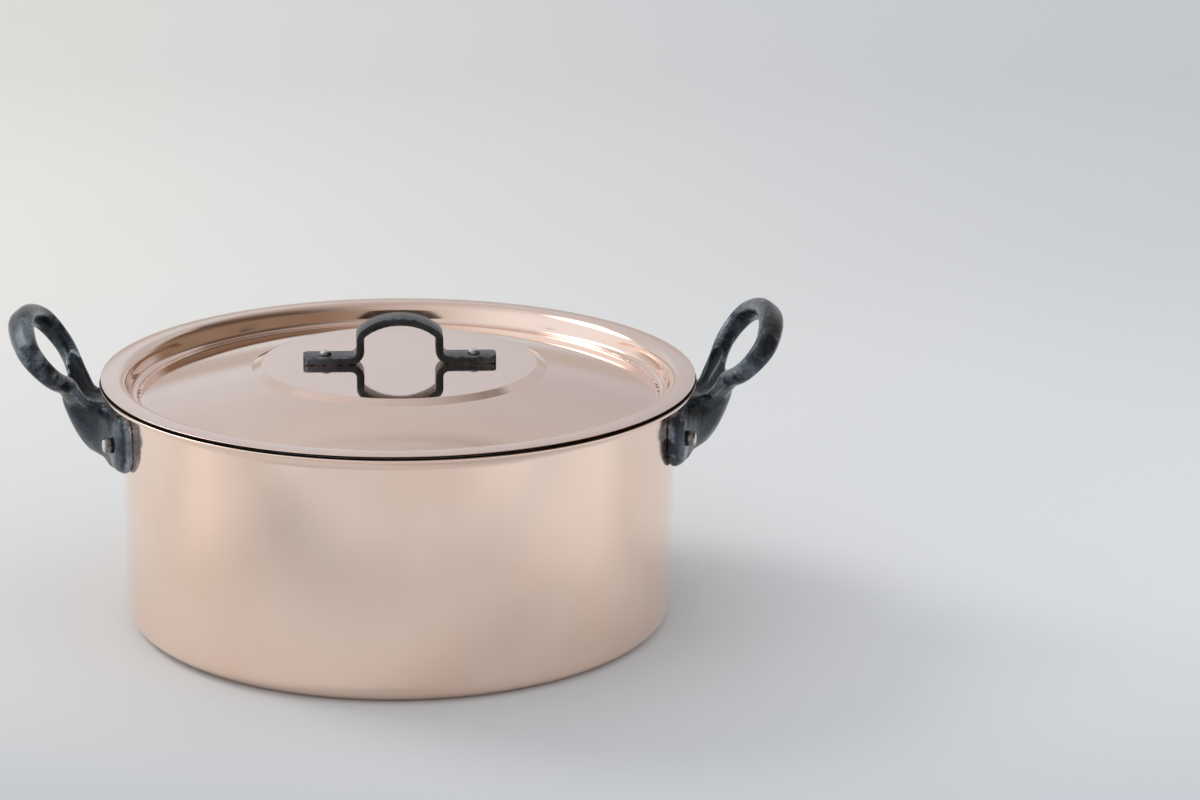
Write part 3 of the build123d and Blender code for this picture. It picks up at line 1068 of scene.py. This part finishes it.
# The lid's lines are its tops, so its sections are turned backwards for faces that point outwards.
lid_copper = copper_material(
    "mirror_copper",
    clean=(0.95, 0.73, 0.625, 1.0), stained=(0.92, 0.69, 0.59, 1.0),
    gloss=0.035, rough_patch=0.08, ring_depth=0.0004, wave_depth=0.035,
)
lid_copper_line = lid_line(lid_rim_radius)
lid_shell = new_object("lid_copper", turned_mesh(
    "lid_copper", lid_copper_section(lid_copper_line)[::-1], turned_segments
))
lid_shell.data.materials.append(lid_copper)
lid_edge_top = lid_copper_line[-1][0].y
# Painted shade on the underside of the lid's edge.
give_gap_shade_copper(lid_shell, lid_gap_shade_from, lid_rim_radius, high=lid_edge_top - lid_edge_shine)
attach(lid_shell, "lid")
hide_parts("lid_shell")


# Lid lining
# A skin of the same stainless steel, 0.3 mm thick, bonded to the underside of the lid's copper. It
# stops 1.5 mm short of the rim's edge.

lid_lining_thickness = 0.3
lid_lining_radius = 150.6

lid_lining = new_object("lid_steel_lining", turned_mesh(
    "lid_steel_lining",
    sheet_section(lid_line(lid_lining_radius), lid_copper_thickness, lid_lining_thickness)[::-1],
    turned_segments,
))
lid_lining.data.materials.append(brushed_steel)
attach(lid_lining, "lid")
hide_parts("lid_lining")


# Lid handle
# One strip of black iron, bent cold into two feet, two legs and a broad arch, with its edges
# eased by a file. A rivet through each foot holds it to the platform.

strap_thickness = 4.0
strap_width = 14.5
strap_foot_end = 49.4
strap_foot_corner = 3.0
strap_foot_corner_steps = 6
strap_leg = 20.2
strap_foot_bend = 5.0
strap_arch_top = 24.4
strap_arch_radius = 32.0
strap_arch_corner = 4.0
strap_arch_join = 4.5
strap_easing = 0.9
strap_easing_steps = 4


def strap_line():
    """The middle of the strap from end to end, in (x, height), as points and normals."""
    foot = platform_top + strap_thickness / 2
    arch_centre = platform_top + strap_arch_top - strap_thickness / 2 - strap_arch_radius

    def arch(x):
        return arch_centre + math.sqrt(strap_arch_radius**2 - x**2)

    join = strap_leg - strap_arch_join
    half_turn = math.asin(join / strap_arch_radius)
    rising = bent_line([
        (-strap_foot_end, foot),
        (-strap_leg, foot, strap_foot_bend),
        (-strap_leg, arch(strap_leg), strap_arch_corner),
        (-join, arch(join)),
    ])
    crown = arc((0, arch_centre), strap_arch_radius, math.pi / 2 + half_turn, -2 * half_turn)
    falling = bent_line([
        (join, arch(join)),
        (strap_leg, arch(strap_leg), strap_arch_corner),
        (strap_leg, foot, strap_foot_bend),
        (strap_foot_end, foot),
    ])
    return flipped(rising) + crown[:-1] + flipped(falling)


def foot_ends(line):
    """The line with more points near its two ends, where the feet are rounded in plan."""
    turns = [math.pi / 2 * k / strap_foot_corner_steps for k in range(strap_foot_corner_steps)]
    extra = [strap_foot_corner * (1 - math.cos(turn)) for turn in turns]
    first, normal = line[0]
    last, last_normal = line[-1]
    start = [(first + Vector((step, 0)), normal) for step in extra]
    end = [(last - Vector((step, 0)), last_normal) for step in reversed(extra)]
    keep = [
        (point, out) for point, out in line
        if abs(point.x) < strap_foot_end - strap_foot_corner + tiny
    ]
    return start + keep + end


def strap_mesh():
    """A flat strip with eased edges swept along the strap's line."""
    half_height = strap_thickness / 2
    rings = []
    for point, normal in foot_ends(strap_line()):
        inset = max(0.0, strap_foot_corner - (strap_foot_end - abs(point.x)))
        narrowing = strap_foot_corner - math.sqrt(max(0.0, strap_foot_corner**2 - inset**2))
        half_width = strap_width / 2 - narrowing
        ring = []
        for start, across, up in ((0, 1, 1), (90, -1, 1), (180, -1, -1), (270, 1, -1)):
            for step in range(strap_easing_steps + 1):
                angle = math.radians(start + 90 * step / strap_easing_steps)
                sideways = across * (half_width - strap_easing) + strap_easing * math.cos(angle)
                raised = up * (half_height - strap_easing) + strap_easing * math.sin(angle)
                at = point + normal * raised
                ring.append(Vector((at.x, -sideways, at.y)) * mm)
        rings.append(ring)
    mesh = swept_solids("lid_strap", [rings])
    shade_smooth(mesh)
    return mesh


def black_iron_material():
    """Hot-rolled black iron: blue-grey scale, rubbed to bright metal along its eased edges."""
    material, tree, shader = new_material(
        "black_strap_iron", Specular_IOR_Level=0.4, Specular_Tint=(0.80, 0.92, 1.0, 1.0),
        Coat_Weight=0.1, Coat_Roughness=0.12,
    )
    place = object_place(tree)
    scale_marks = noise(tree, place, 120.0, 6.0, 0.6)
    across = add_node(tree, "ShaderNodeSeparateXYZ", Vector=place).outputs["Y"]
    aside = maths(tree, "ABSOLUTE", across)
    half_width = strap_width / 2 * mm
    easing = strap_easing * mm
    eased = maths(
        tree, "MULTIPLY", spread(tree, aside, half_width - easing, half_width - 0.6 * easing),
        spread(tree, aside, half_width - 0.3 * easing, half_width, 1.0, 0.0),
    )
    rubbed = maths(tree, "MULTIPLY", eased, spread(tree, scale_marks, 0.42, 0.62, 0.0, 0.35))
    black = mix_colours(
        tree, spread(tree, scale_marks, 0.35, 0.65),
        (0.006, 0.007, 0.008, 1.0), (0.018, 0.021, 0.025, 1.0),
    )
    connect(
        tree, shader,
        Base_Color=mix_colours(tree, rubbed, black, (0.45, 0.46, 0.48, 1.0)),
        Metallic=rubbed,
        Roughness=spread(tree, scale_marks, 0.3, 0.7, 0.2, 0.36),
        Normal=bump(tree, scale_marks, 0.1),
    )
    return material


lid_strap = new_object("lid_strap", strap_mesh())
lid_strap.data.materials.append(black_iron_material())
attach(lid_strap, "lid")
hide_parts("lid_handle")


# Lid rivets
# Two small steel rivets with low round heads, one through each foot of the strap, the lid and
# its lining.

lid_rivet_offset = 38.0
lid_rivet_sizes = {
    "Head Radius": 3.2 * mm, "Head Rise": 2.2 * mm, "Head Squareness": 0.85,
    "Shank Radius": 2.0 * mm, "Grip": 5.5 * mm,
    "Inner Radius": 3.75 * mm, "Inner Rise": 1.4 * mm, "Inner Squareness": 0.45,
}
lid_rivet_places = [
    Vector((side * lid_rivet_offset, 0, platform_top + strap_thickness)) * mm
    for side in (-1, 1)
]
lid_rivets = rivets(
    "lid_handle_rivets", lid_rivet_places, [Vector((0, 0, 1))] * 2, lid_rivet_sizes
)
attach(lid_rivets, "lid")
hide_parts("lid_left_rivet", "lid_right_rivet")
